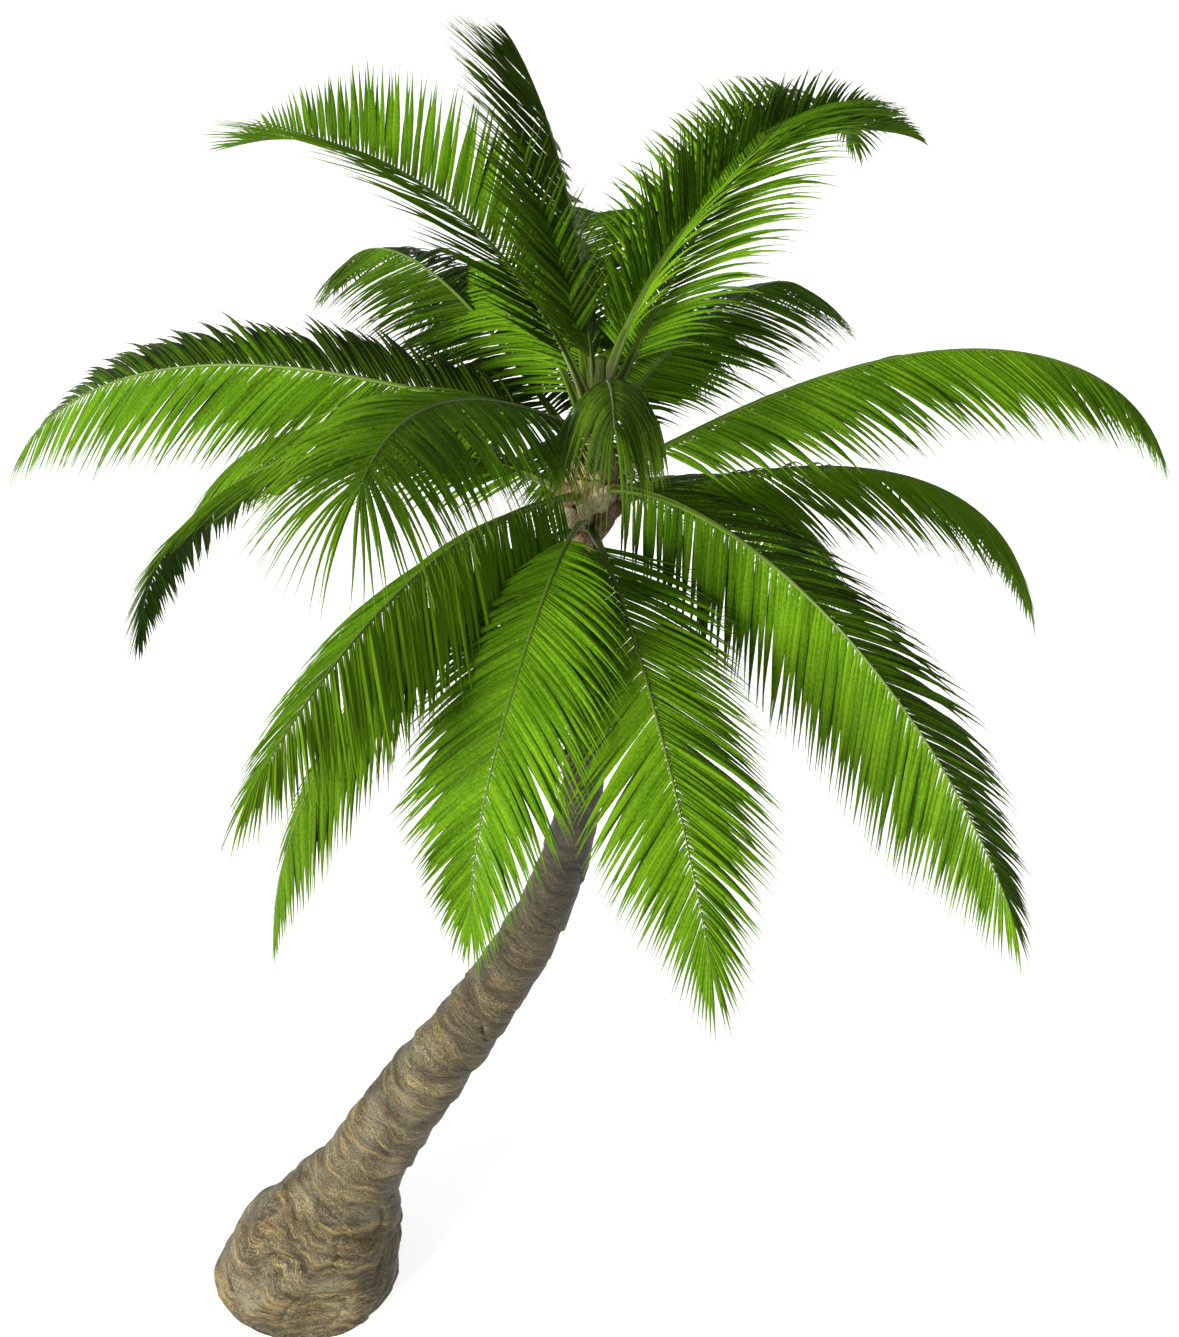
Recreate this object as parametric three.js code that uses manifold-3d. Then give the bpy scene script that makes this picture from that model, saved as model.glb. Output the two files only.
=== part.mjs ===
// A coconut palm: a leaning trunk with a swollen foot, the fibre-wrapped heart
// of the crown, and the fronds, each a thin blade of its outline, cut across
// where it bends. Millimetres, +Z up, origin at the middle of the flat cut at
// ground level. The trunk leans towards +X.

import * as THREE from 'three';
import { mergeVertices } from 'three/addons/utils/BufferGeometryUtils.js';
import Module from 'manifold-3d';

const wasm = await Module();
wasm.setup();

const M = 1000; // millimetres in a metre
const DEG = Math.PI / 180;

// ---------------------------------------------------------------- dimensions

// Trunk: its axis is one bend from the ground to the crown.
const TRUNK_HEIGHT = 7.86 * M;
const TRUNK_REACH = 2.58 * M; // how far the crown stands out from the foot
const LEAN_OUT = [1.28 * M, 3.5 * M]; // pull of the bend near the ground, x and z
const LEAN_UP = [2.94 * M, 3.45 * M]; // pull of the bend below the crown, x and z
const TOP_RADIUS = 110;
const TAPER = 250; // what the radius grows from the top down to the neck
const TAPER_HEIGHT = 6.36 * M;
const TAPER_POWER = 1.4;
const FLARE = 404; // what the swollen foot adds at the ground
const FLARE_HEIGHT = 1.45 * M;
const LEVEL_HEIGHT = 1.2 * M; // over which the level end rings turn square to the axis
const TRUNK_SIDES = 18;
const TRUNK_RINGS = 18;
const RING_CROWDING = 1.25; // above 1, the rings lie closer together at the foot

// Heart: the sheath of fibre and leaf bases that the fronds grow from.
const HEART_FOOT = TRUNK_HEIGHT;
const HEART_HEIGHT = 1.5 * M;
const HEART_RADIUS = 205;
const HEART_TIP_RADIUS = 30;
const HEART_SIDES = 14;
const HEART_RINGS = 8;
const HEART_LEAN = 0.08; // sideways drift of the heart for its rise

// Frond: stem, rib and blade.
const STEM_START = 80; // from the heart's axis, inside the heart
const STEM_HALF_WIDTH = 46;
const RIB_THICKNESS = [56, 12]; // at the heart and at the tip
const LEAF_THICKNESS = [12, 7]; // halfway out and at the edge
const HALF_WIDTH = 0.72 * M; // of the widest part of a blade
const STEM_TAPER = 0.8; // what the stem loses of its width by the tip
const EDGE_DROOP = 0.45; // how far a droop of 1 lowers the edge, in half widths
const BLADE_START = 0.05; // shares of the frond's length from here on
const BLADE_SHOULDER = 0.11; // where the blade has a quarter of its width
const BLADE_FULL = 0.34;
const BLADE_CLOSE = 0.8;
const BLUNTNESS = 0.02; // the blade would close this far beyond its end
const FOLD_START = 0.02; // the stem lies flat up to here
const FOLD_FULL = 0.15;
const BLADE_ACROSS = 4; // strips across a blade
const BLADE_ROWS = 12; // rows along a whole blade, shared by its pieces
const CURVE_STEPS = 60;

const GAP = 0.3; // clearance between pieces that touch
const PIECE_GAP = 0.8; // clearance between the pieces of one frond
const CROSS_GAP = 1; // clearance where one blade passes through another

const BARK = 0x6e6448;
const FIBRE = 0xb8a27c;
const LEAF = 0x4f7a26;
const DULL = 0.95; // roughness of bark and fibre
const WAXY = 0.7; // roughness of leaf

// Each frond grows from the heart at a height, towards an azimuth (0 is +X,
// 90 is +Y), at a rise above level. It falls by an angle over its length,
// slowly at first where bend is large, and sweeps sideways. Roll turns the
// blade about the rib, and fold lifts both halves, or drops them where it is
// negative. Width is a share of the usual width, and the last leaflets run on past
// the rib's end to the share end. Angles in degrees, lengths in metres.
const FROND_DEFAULTS = {
  sweep: 0, roll: 0, fold: -20, droop: 0.4, width: 1, cuts: [0.5], end: 1.085,
};
const FRONDS = {
  spear: {
    azimuth: 97, rise: 60, fall: 54, bend: 0.62, sweep: 9, length: 3.75, height: 8.9,
    roll: 56, fold: -18, droop: 0.15,
  },
  high_left: {
    azimuth: 130, rise: 64, fall: 88, bend: 0.7, sweep: 7, length: 4.5, height: 8.9,
    roll: -4, fold: 30, droop: 0.1,
  },
  back_left: {
    azimuth: 120, rise: 18, fall: 66, bend: 1.9, sweep: -2, length: 4.8, height: 8.48,
    roll: -10,
  },
  left: {
    azimuth: 175, rise: 14, fall: 68, bend: 2, sweep: -17, length: 4.8, height: 8.75,
    roll: -27, fold: -16, droop: 0.35,
  },
  low_left: {
    azimuth: 169, rise: 24, fall: 103, bend: 1.1, sweep: -3, length: 4.6, height: 8.22,
    roll: 20, droop: 0.2, width: 0.75, cuts: [0.36, 0.68],
  },
  front_left: {
    azimuth: 244, rise: 24, fall: 48, bend: 1.4, length: 4.65, height: 8.28,
    roll: -6, fold: -42, droop: 0.5,
  },
  front_left_low: {
    azimuth: 242, rise: 23, fall: 103, bend: 1.55, sweep: -11, length: 4.55, height: 7.98,
    roll: 27, fold: -27, width: 0.75, cuts: [0.36, 0.68],
  },
  front_hanging: {
    azimuth: 268, rise: 38, fall: 126, bend: 1.3, sweep: -25, length: 4.5, height: 8,
    roll: 8, fold: 2, cuts: [0.36, 0.68],
  },
  front_right_hanging: {
    azimuth: 276, rise: 20, fall: 70, bend: 1.37, sweep: 9, length: 4.6, height: 8.04,
    roll: 2, fold: -10, droop: 0.28,
  },
  front_right: {
    azimuth: 312, rise: 33, fall: 94, bend: 0.7, sweep: 6, length: 4.75, height: 8.3,
    roll: 16, fold: -25,
  },
  right: {
    azimuth: 25, rise: 1, fall: 73, bend: 1.85, length: 4.7, height: 8.12,
    fold: -25, width: 0.9,
  },
  high_right: {
    azimuth: 4, rise: 30, fall: 90, bend: 1.9, sweep: 12, length: 4.8, height: 8.35,
    fold: -35, width: 0.85,
  },
  back_right: {
    azimuth: 57, rise: 15, fall: 56, bend: 1.3, sweep: 10, length: 4.2, height: 8.75,
  },
  top_right: {
    azimuth: 62, rise: 59, fall: 84, bend: 0.7, sweep: -19, length: 4.5, height: 9.02,
    roll: 10, fold: 62, width: 0.8,
  },
  top_right_behind: {
    azimuth: 53, rise: 44, fall: 96, bend: 1.85, sweep: 11, length: 4.6, height: 8.85,
    fold: 20,
  },
  front_centre: {
    azimuth: 274, rise: 58, fall: 50, bend: 1.05, sweep: -3.5, length: 4.2, height: 8.42,
    roll: 10, fold: 0, droop: 3.2, width: 0.5, end: 1.15,
  },
  front_left_high: {
    azimuth: 238.6, rise: 36.6, fall: 30.6, bend: 1.36, sweep: 27.7, length: 4.8, height: 8.78,
    roll: -10, fold: -8, droop: 0.7, end: 1.2,
  },
  top_back: {
    azimuth: 100, rise: 32, fall: 77, bend: 1.06, sweep: -29, length: 4.6, height: 8.74,
    fold: 10,
  },
  back_right_low: {
    azimuth: 52, rise: -5, fall: 75, bend: 1.3, length: 4.4, height: 8.05,
  },
  back_upper: {
    azimuth: 76, rise: 20, fall: 85, bend: 1.3, length: 4.6, height: 8.45,
  },
  back_low: {
    azimuth: 92, rise: 2, fall: 80, bend: 1.3, length: 4.6, height: 8,
  },
  back_middle: {
    azimuth: 109, rise: 26, fall: 92, bend: 1.3, length: 4.6, height: 8.65,
  },
  back_left_low: {
    azimuth: 146, rise: 12, fall: 75, bend: 1.3, length: 4.6, height: 8.15,
  },
};

// ------------------------------------------------------------------- helpers

const UP = new THREE.Vector3(0, 0, 1);

function smooth(value, from, to) {
  return THREE.MathUtils.smoothstep(value, from, to);
}

// The geometry with its shared corners merged, so that it is one closed shell.
function welded(geometry) {
  const bare = geometry.clone();
  bare.deleteAttribute('normal');
  bare.deleteAttribute('uv');
  return mergeVertices(bare, 1e-4);
}

function toSolid(geometry) {
  const shell = welded(geometry);
  return new wasm.Manifold(new wasm.Mesh({
    numProp: 3,
    vertProperties: new Float32Array(shell.attributes.position.array),
    triVerts: new Uint32Array(shell.index.array),
  }));
}

function toGeometry(solid) {
  const mesh = solid.getMesh();
  const geometry = new THREE.BufferGeometry();
  geometry.setAttribute('position', new THREE.BufferAttribute(mesh.vertProperties, 3));
  geometry.setIndex(new THREE.BufferAttribute(mesh.triVerts, 1));
  geometry.computeVertexNormals();
  return geometry;
}

// The body that is left of a solid when the loose chips are dropped.
function mainBody(solid) {
  return solid.decompose().reduce((best, body) => (body.volume() > best.volume() ? body : best));
}

function moveCorners(geometry, place) {
  const position = geometry.attributes.position;
  const corner = new THREE.Vector3();
  for (let i = 0; i < position.count; i += 1) {
    corner.fromBufferAttribute(position, i);
    const moved = place(corner);
    position.setXYZ(i, moved.x, moved.y, moved.z);
  }
  return geometry;
}

function finish(name, geometry, color, roughness) {
  const material = new THREE.MeshStandardMaterial({ color, roughness, metalness: 0 });
  const mesh = new THREE.Mesh(geometry, material);
  mesh.name = name;
  return mesh;
}

// --------------------------------------------------------------------- trunk

const trunkAxis = new THREE.CubicBezierCurve3(
  new THREE.Vector3(0, 0, 0),
  new THREE.Vector3(LEAN_OUT[0], 0, LEAN_OUT[1]),
  new THREE.Vector3(LEAN_UP[0], 0, LEAN_UP[1]),
  new THREE.Vector3(TRUNK_REACH, 0, TRUNK_HEIGHT),
);

function trunkRadius(height) {
  const down = Math.max(0, TRUNK_HEIGHT - height) / TAPER_HEIGHT;
  const taper = TOP_RADIUS + TAPER * down ** TAPER_POWER;
  const foot = height < FLARE_HEIGHT ? Math.cos((Math.PI / 2) * (height / FLARE_HEIGHT)) ** 2 : 0;
  return taper + FLARE * foot;
}

// A straight turned trunk, whose rings are then moved onto the leaning axis.
function trunkGeometry() {
  const profile = [new THREE.Vector2(0, 0)];
  for (let ring = 0; ring <= TRUNK_RINGS; ring += 1) {
    profile.push(new THREE.Vector2(1, ring / TRUNK_RINGS));
  }
  profile.push(new THREE.Vector2(0, 1));
  const turned = new THREE.LatheGeometry(profile, TRUNK_SIDES);
  turned.rotateX(Math.PI / 2);
  return moveCorners(turned, (corner) => {
    const share = Math.max(0, corner.z) ** RING_CROWDING;
    const centre = trunkAxis.getPoint(share);
    const tangent = trunkAxis.getTangent(share);
    const level = smooth(centre.z, 0, LEVEL_HEIGHT) * smooth(TRUNK_HEIGHT - centre.z, 0, LEVEL_HEIGHT);
    const tilt = Math.atan2(tangent.x, tangent.z) * level;
    const radius = trunkRadius(centre.z);
    const offset = new THREE.Vector3(corner.x * radius, corner.y * radius, 0);
    offset.applyAxisAngle(new THREE.Vector3(0, 1, 0), tilt);
    return centre.add(offset);
  });
}

// --------------------------------------------------------------------- heart

function heartAxis(height) {
  return TRUNK_REACH + HEART_LEAN * (height - HEART_FOOT);
}

// Swells out from the trunk's top over the first sixth, then draws in.
function heartRadius(share) {
  const swell = smooth(share, 0, 0.16);
  const close = smooth(share, 0.25, 1);
  const body = TOP_RADIUS + (HEART_RADIUS - TOP_RADIUS) * swell;
  return body + (HEART_TIP_RADIUS - body) * close;
}

// Grow adds to the radius and to both ends.
function heartGeometry(grow) {
  const profile = [new THREE.Vector2(0, 0)];
  for (let ring = 0; ring <= HEART_RINGS; ring += 1) {
    profile.push(new THREE.Vector2(1, ring / HEART_RINGS));
  }
  profile.push(new THREE.Vector2(0, 1));
  const turned = new THREE.LatheGeometry(profile, HEART_SIDES);
  turned.rotateX(Math.PI / 2);
  return moveCorners(turned, (corner) => {
    const radius = heartRadius(corner.z) + grow;
    const height = HEART_FOOT + GAP - grow + corner.z * (HEART_HEIGHT + 2 * grow);
    return new THREE.Vector3(heartAxis(height) + corner.x * radius, corner.y * radius, height);
  });
}

// -------------------------------------------------------------------- fronds

function frondDirection(frond, share) {
  const elevation = (frond.rise - frond.fall * share ** frond.bend) * DEG;
  const azimuth = (frond.azimuth + frond.sweep * share) * DEG;
  return new THREE.Vector3(
    Math.cos(elevation) * Math.cos(azimuth),
    Math.cos(elevation) * Math.sin(azimuth),
    Math.sin(elevation),
  );
}

// The rib's course, as points one step apart, run on past the blade's end.
function ribCourse(frond) {
  const azimuth = frond.azimuth * DEG;
  const height = frond.height * M;
  const point = new THREE.Vector3(
    heartAxis(height) + STEM_START * Math.cos(azimuth),
    STEM_START * Math.sin(azimuth),
    height,
  );
  const step = (frond.length * M) / CURVE_STEPS;
  const course = [point.clone()];
  for (let i = 0; i < CURVE_STEPS * frond.end + 1; i += 1) {
    point.addScaledVector(frondDirection(frond, (i + 0.5) / CURVE_STEPS), step);
    course.push(point.clone());
  }
  return course;
}

function ribPoint(course, share) {
  const place = Math.max(0, share) * CURVE_STEPS;
  const index = Math.floor(place);
  return course[index].clone().lerp(course[index + 1], place - index);
}

// Half width of the blade: the stem, then out to the full width, held, and
// drawn in to a blunt tip.
function halfWidth(frond, share) {
  const shoulder = smooth(share, BLADE_START, BLADE_SHOULDER) / 4;
  const open = shoulder + (smooth(share, BLADE_START, BLADE_FULL) * 3) / 4;
  const shut = 1 - smooth(share, BLADE_CLOSE, frond.end + BLUNTNESS);
  const leaves = HALF_WIDTH * frond.width * open * shut;
  const stem = STEM_HALF_WIDTH * (1 - STEM_TAPER * Math.min(1, share));
  return Math.max(stem, leaves);
}

// A thin closed shell over a grid of strips and rows. Both faces split their
// cells along the same diagonal, so a twisted blade keeps its thickness.
function shellGeometry(strips, rows, place) {
  const positions = [];
  const faces = [];
  const columns = strips + 1;
  const lower = columns * (rows + 1); // where the corners of the lower face start
  [0.5, -0.5].forEach((level) => {
    for (let row = 0; row <= rows; row += 1) {
      for (let column = 0; column < columns; column += 1) {
        positions.push(...place(1 - (2 * column) / strips, row / rows, level));
      }
    }
  });
  const cell = (a, b, c, d) => faces.push(a, b, c, a, c, d);
  for (let row = 0; row < rows; row += 1) {
    for (let column = 0; column < strips; column += 1) {
      const near = row * columns + column;
      const far = near + columns;
      faces.push(near, near + 1, far + 1, near, far + 1, far);
      faces.push(lower + near, lower + far + 1, lower + near + 1);
      faces.push(lower + near, lower + far, lower + far + 1);
    }
    const left = row * columns;
    const right = left + strips;
    cell(left + columns, left + columns + lower, left + lower, left);
    cell(right, right + lower, right + columns + lower, right + columns);
  }
  for (let column = 0; column < strips; column += 1) {
    const last = rows * columns + column;
    cell(column, column + lower, column + 1 + lower, column + 1);
    cell(last, last + 1, last + 1 + lower, last + lower);
  }
  const geometry = new THREE.BufferGeometry();
  geometry.setAttribute('position', new THREE.Float32BufferAttribute(positions, 3));
  geometry.setIndex(faces);
  return geometry;
}

// One piece of a frond between two shares of its length: a thin shell that is
// folded along the rib and droops towards its edges. Across runs from 1 at the
// left edge, seen from the heart, to -1 at the right edge.
function bladeGeometry(frond, course, from, to, grow) {
  const along = grow / (frond.length * M);
  const rows = BLADE_ROWS / (frond.cuts.length + 1);
  return shellGeometry(BLADE_ACROSS, rows, (across, row, level) => {
    const share = from - along + (to - from + 2 * along) * row;
    const side = Math.sign(across);
    const tangent = frondDirection(frond, Math.max(0, share));
    const azimuth = (frond.azimuth + frond.sweep * share) * DEG;
    const roll = frond.roll * DEG;
    const left = new THREE.Vector3(-Math.sin(azimuth), Math.cos(azimuth), 0);
    const top = tangent.clone().cross(left);
    left.applyAxisAngle(tangent, roll);
    top.applyAxisAngle(tangent, roll);
    const fold = frond.fold * DEG * smooth(share, FOLD_START, FOLD_FULL);
    const width = (halfWidth(frond, share) + grow) * Math.abs(across);
    const wing = left.clone().multiplyScalar(side * Math.cos(fold));
    wing.addScaledVector(top, Math.sin(fold));
    const normal = top.clone().multiplyScalar(Math.cos(fold));
    normal.addScaledVector(left, -side * Math.sin(fold));
    const rib = THREE.MathUtils.lerp(RIB_THICKNESS[0], RIB_THICKNESS[1], Math.min(1, share));
    const thickness = [rib, LEAF_THICKNESS[0], LEAF_THICKNESS[1]][Math.round(Math.abs(across) * 2)];
    const point = ribPoint(course, share);
    point.addScaledVector(wing, width);
    point.addScaledVector(UP, -frond.droop * EDGE_DROOP * width * Math.abs(across));
    point.addScaledVector(side === 0 ? top : normal, level * (thickness + 2 * grow));
    return point.toArray();
  });
}

// ------------------------------------------------------------------ assembly

const tree = new THREE.Group();
tree.add(finish('trunk', trunkGeometry(), BARK, DULL));
tree.add(finish('crown_heart', heartGeometry(0), FIBRE, DULL));

const heartCutter = toSolid(heartGeometry(1.5 * GAP));
const earlier = []; // the grown solids of the pieces that are already in place

Object.entries(FRONDS).forEach(([place, sizes]) => {
  const frond = { ...FROND_DEFAULTS, ...sizes };
  const course = ribCourse(frond);
  const ends = [0, ...frond.cuts, frond.end];
  const own = [];
  for (let piece = 0; piece + 1 < ends.length; piece += 1) {
    const gap = piece > 0 ? PIECE_GAP / (frond.length * M) : 0;
    const from = ends[piece] + gap;
    const to = ends[piece + 1];
    let solid = toSolid(bladeGeometry(frond, course, from, to, 0)).subtract(heartCutter);
    earlier.forEach((cutter) => {
      solid = solid.subtract(cutter);
    });
    own.push(toSolid(bladeGeometry(frond, course, from, to, CROSS_GAP)));
    const name = `frond_${place}_${piece + 1}`;
    tree.add(finish(name, toGeometry(mainBody(solid)), LEAF, WAXY));
  }
  earlier.push(...own);
});

export default tree;
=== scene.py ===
"""Looks of a coconut palm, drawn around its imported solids.

Metres, +Z up, origin at the middle of the flat cut at ground level. The trunk
gets its bark, the heart of the crown its fibre and torn cloths, and every frond
its stalk, rib and leaflets.
"""

import math

import bpy
import numpy as np
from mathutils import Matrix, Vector, noise


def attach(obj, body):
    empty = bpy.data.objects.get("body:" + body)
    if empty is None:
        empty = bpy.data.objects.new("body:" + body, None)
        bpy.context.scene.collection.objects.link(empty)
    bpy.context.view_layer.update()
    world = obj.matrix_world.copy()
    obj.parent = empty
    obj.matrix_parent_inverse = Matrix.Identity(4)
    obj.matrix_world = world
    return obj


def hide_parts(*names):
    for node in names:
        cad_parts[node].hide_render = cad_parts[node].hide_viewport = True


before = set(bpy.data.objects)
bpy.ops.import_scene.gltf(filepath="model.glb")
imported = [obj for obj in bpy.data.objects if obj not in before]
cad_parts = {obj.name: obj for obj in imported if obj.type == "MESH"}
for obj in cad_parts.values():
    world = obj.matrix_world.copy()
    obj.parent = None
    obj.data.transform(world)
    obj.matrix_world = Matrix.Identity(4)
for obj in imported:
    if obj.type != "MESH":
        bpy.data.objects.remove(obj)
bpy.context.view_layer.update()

# ---------------------------------------------------------------- sizes, in metres

# the trunk's middle is a curve that leans out and then bends back up
TRUNK_HEIGHT = 7.86
TRUNK_BEND = np.array([(0, 0, 0), (1.28, 0, 3.5), (2.94, 0, 3.45), (2.58, 0, TRUNK_HEIGHT)])
# its radius at the crown, what the taper adds so far below the crown, and what the
# flare adds at the ground, fading out at a height
TOP_RADIUS = 0.110
TAPER = 0.250
TAPER_HEIGHT = 6.36
TAPER_POWER = 1.4
FLARE = 0.404
FLARE_HEIGHT = 1.45
# both ends are level, and rings this far from them lean fully with the trunk
LEVEL_HEIGHT = 1.2

# the rings of the bark crowd towards the foot
BARK_RINGS = 460
BARK_SIDES = 168
RING_CROWDING = 1.25
# the spacing and depth of what shows in the bark
BELT_SPACING = 0.36
BELT_DEPTH = 0.055
SCAR_SPACING = 0.07
SCAR_DEPTH = 0.003
LAYER_DEPTH = 0.004
LUMP_DEPTH = 0.010
FOOT_SWELL = 0.105
FOOT_FOLD = 0.030

# the heart of the crown, whose foot is sunk in the trunk
HEART_HEIGHT = 1.5
HEART_RADIUS = 0.205
HEART_TIP_RADIUS = 0.030
HEART_LEAN = 0.08
HEART_SUNK = 0.05
HEART_RINGS = 90
HEART_SIDES = 96
CLOTH_COLUMNS = 30
CLOTH_ROWS = 18
CLOTH_THICKNESS = 0.006

# a frond starts this far from the heart's middle, and its rings crowd towards it
STEM_START = 0.080
RIB_STEPS = 60
STALK_RINGS = 56
STALK_CROWDING = 1.15
# half the width and the thickness of stalk and rib, at shares of the frond's length:
# a clasping foot, then a thin rib
WIDTH_SHARES = (0, 0.03, 0.07, 0.15, 0.3, 0.6, 1)
STALK_HALF_WIDTHS = (0.072, 0.050, 0.038, 0.026, 0.017, 0.011, 0.003)
THICKNESS_SHARES = (0, 0.07, 0.15, 0.3, 0.6, 1)
STALK_THICKNESSES = (0.060, 0.050, 0.042, 0.034, 0.024, 0.008)

LEAFLET_LENGTH = 1.0
LEAFLET_WIDTH = 0.048
LEAFLET_HALF_THICKNESS = 0.0012
LEAFLET_STEPS = 8
# a leaflet's edges and keel turn by more than this, in degrees, and stay sharp
LEAFLET_CREASE = 22
# a leaflet's width as a share of its widest, from its heel to its point
OUTLINE_SHARES = (0, 0.10, 0.2, 0.32, 0.5, 0.7, 0.85, 1)
OUTLINE_WIDTHS = (0.52, 0.72, 0.93, 1, 0.88, 0.48, 0.2, 0.025)
# the angle between leaflets and the rib, in degrees, at shares of the rib's length
ANGLE_SHARES = (0.05, 0.3, 0.6, 0.85, 0.94, 1.0)
LEAFLET_ANGLES = (60, 54, 48, 43, 30, 4)

# the camera is tilted up from straight down, in degrees, and its lens and sensor
# are in mm
CAMERA_PLACE = (2.611, -16.019, 17.489)
CAMERA_TILT = 56
CAMERA_LENS = 67.18
CAMERA_SENSOR = 36
# how far the floor reaches each way and how high the backdrop is
STAGE_REACH = 400
BACKDROP_RADIUS = 380
BACKDROP_SIDES = 64

# Each frond grows from the heart at a height, towards an azimuth (0 is +X, 90 is
# +Y), at a rise above level. It falls by an angle over its length, slowly at
# first where bend is large, and sweeps sideways. Roll turns it about its rib, and
# fold lifts both halves, or drops them where it is negative. First is the share of
# its length where leaflets start, pairs how many it has. Tight closes them towards
# the rib, leaf is their length as a share, start and tip are how much of it the
# first and the last have, and pieces is how many solids the frond was cut into.
# Green is its kind of leaf, and deep is that leaf darkened as painted shade. Its
# painted light pair lightens the leaflets on its left and right as painted light,
# or darkens them as painted shade where negative, and inner darkens them near the
# heart alone, as painted shade. Angles in degrees.
FROND_DEFAULTS = dict(
    sweep=0, roll=0, fold=-20, droop=0.4, first=0.1, start=0.6, pairs=120, tight=1, leaf=1,
    tip=0.5, pieces=2, green="full", painted_light=(0, 0), inner=0,
)
FRONDS = {
    "spear": dict(
        azimuth=97, rise=60, fall=54, bend=0.62, sweep=9, length=3.75, height=8.9,
        roll=56, fold=-18, droop=0.15, leaf=1.15, tip=0.35, pairs=140, green="deep",
    ),
    "high_left": dict(
        azimuth=130, rise=64, fall=88, bend=0.7, sweep=7, length=4.5, height=8.9,
        roll=-4, fold=30, droop=0.1, leaf=1.05, pairs=92, painted_light=(0.3, 0), inner=-1.3,
    ),
    "back_left": dict(
        azimuth=120, rise=18, fall=66, bend=1.9, sweep=-2, length=4.8, height=8.48,
        roll=-10, painted_light=(-1, -0.9),
    ),
    "left": dict(
        azimuth=175, rise=14, fall=68, bend=2, sweep=-17, length=4.8, height=8.75,
        roll=-27, fold=-16, droop=0.35, painted_light=(-0.2, -1.3), inner=-0.9,
    ),
    "low_left": dict(
        azimuth=169, rise=24, fall=103, bend=1.1, sweep=-3, length=4.6, height=8.22,
        roll=20, fold=-20, droop=0.2, tight=0.9, leaf=0.85, pieces=3,
        green="old", painted_light=(-0.4, -0.6),
    ),
    "front_left": dict(
        azimuth=244, rise=24, fall=48, bend=1.4, length=4.65, height=8.28,
        roll=-6, fold=-42, droop=0.5, painted_light=(1.2, -0.6), inner=-0.5,
    ),
    "front_left_low": dict(
        azimuth=242, rise=23, fall=103, bend=1.55, sweep=-11, length=4.55, height=7.98,
        roll=27, fold=-27, tight=0.65, tip=0.4, pieces=3, green="old",
    ),
    "front_hanging": dict(
        azimuth=268, rise=38, fall=126, bend=1.3, sweep=-25, length=4.5, height=8,
        roll=8, fold=2, first=0.3, start=0.15, pieces=3, painted_light=(0, -0.3),
    ),
    "front_right_hanging": dict(
        azimuth=276, rise=20, fall=70, bend=1.37, sweep=9, length=4.6, height=8.04,
        roll=2, fold=-10, droop=0.28, first=0.17, start=0.85, painted_light=(0.2, 0.2),
    ),
    "front_right": dict(
        azimuth=312, rise=33, fall=94, bend=0.7, sweep=6, length=4.75, height=8.3,
        roll=16, fold=-25, first=0.07, leaf=1.05, painted_light=(-0.8, 0.2), inner=-0.9,
    ),
    "right": dict(
        azimuth=25, rise=1, fall=73, bend=1.85, length=4.7, height=8.12,
        fold=-25, tight=0.9, painted_light=(-0.5, 0.9),
    ),
    "high_right": dict(
        azimuth=4, rise=30, fall=90, bend=1.9, sweep=12, length=4.8, height=8.35,
        fold=-35, tight=0.85,
    ),
    "back_right": dict(
        azimuth=57, rise=15, fall=56, bend=1.3, sweep=10, length=4.2, height=8.75,
    ),
    "top_right": dict(
        azimuth=62, rise=59, fall=84, bend=0.7, sweep=-19, length=4.5, height=9.02,
        roll=10, fold=62, leaf=0.78, tip=0.4, painted_light=(-0.9, 0.5),
    ),
    "top_right_behind": dict(
        azimuth=53, rise=44, fall=96, bend=1.85, sweep=11, length=4.6, height=8.85,
        fold=20,
    ),
    "front_centre": dict(
        azimuth=274, rise=58, fall=50, bend=1.05, sweep=-3.5, length=4.2, height=8.42,
        roll=10, fold=0, droop=3.2, tight=0.72, leaf=0.85, tip=0.9, pairs=60, green="deep",
    ),
    "front_left_high": dict(
        azimuth=238.6, rise=36.6, fall=30.6, bend=1.36, sweep=27.7, length=4.8, height=8.78,
        roll=-10, fold=-8, droop=0.7, leaf=1.05, tip=1, inner=-0.9,
    ),
    "top_back": dict(
        azimuth=100, rise=32, fall=77, bend=1.06, sweep=-29, length=4.6, height=8.74,
        fold=10,
    ),
    "back_right_low": dict(
        azimuth=52, rise=-5, fall=75, bend=1.3, length=4.4, height=8.05,
    ),
    "back_upper": dict(
        azimuth=76, rise=20, fall=85, bend=1.3, length=4.6, height=8.45,
    ),
    "back_low": dict(
        azimuth=92, rise=2, fall=80, bend=1.3, length=4.6, height=8, green="old",
    ),
    "back_middle": dict(
        azimuth=109, rise=26, fall=92, bend=1.3, length=4.6, height=8.65,
    ),
    "back_left_low": dict(
        azimuth=146, rise=12, fall=75, bend=1.3, length=4.6, height=8.15,
    ),
}

# ------------------------------------------------------------------------- helpers

UP = np.array([0.0, 0.0, 1.0])


def smooth(value, low, high):
    """A soft step from 0 at low to 1 at high."""
    share = np.clip((value - low) / (high - low), 0, 1)
    return share * share * (3 - 2 * share)


def mix(first, last, share):
    return first + (last - first) * share


def unit(vectors):
    return vectors / np.linalg.norm(vectors, axis=-1, keepdims=True)


def turned(vectors, axes, angle):
    """Vectors turned about unit axes that stand square to them."""
    return vectors * np.cos(angle) + np.cross(axes, vectors) * np.sin(angle)


def noise_at(points, scale, seed):
    """Smooth noise of about -1 to 1 at each point, with features of 1 / scale."""
    shift = Vector((seed * 7.31, seed * 3.17, seed * 5.93))
    flat = np.asarray(points).reshape(-1, 3) * scale
    values = [noise.noise(Vector(point) + shift) for point in flat]
    return np.array(values).reshape(np.shape(points)[:-1])


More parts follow.
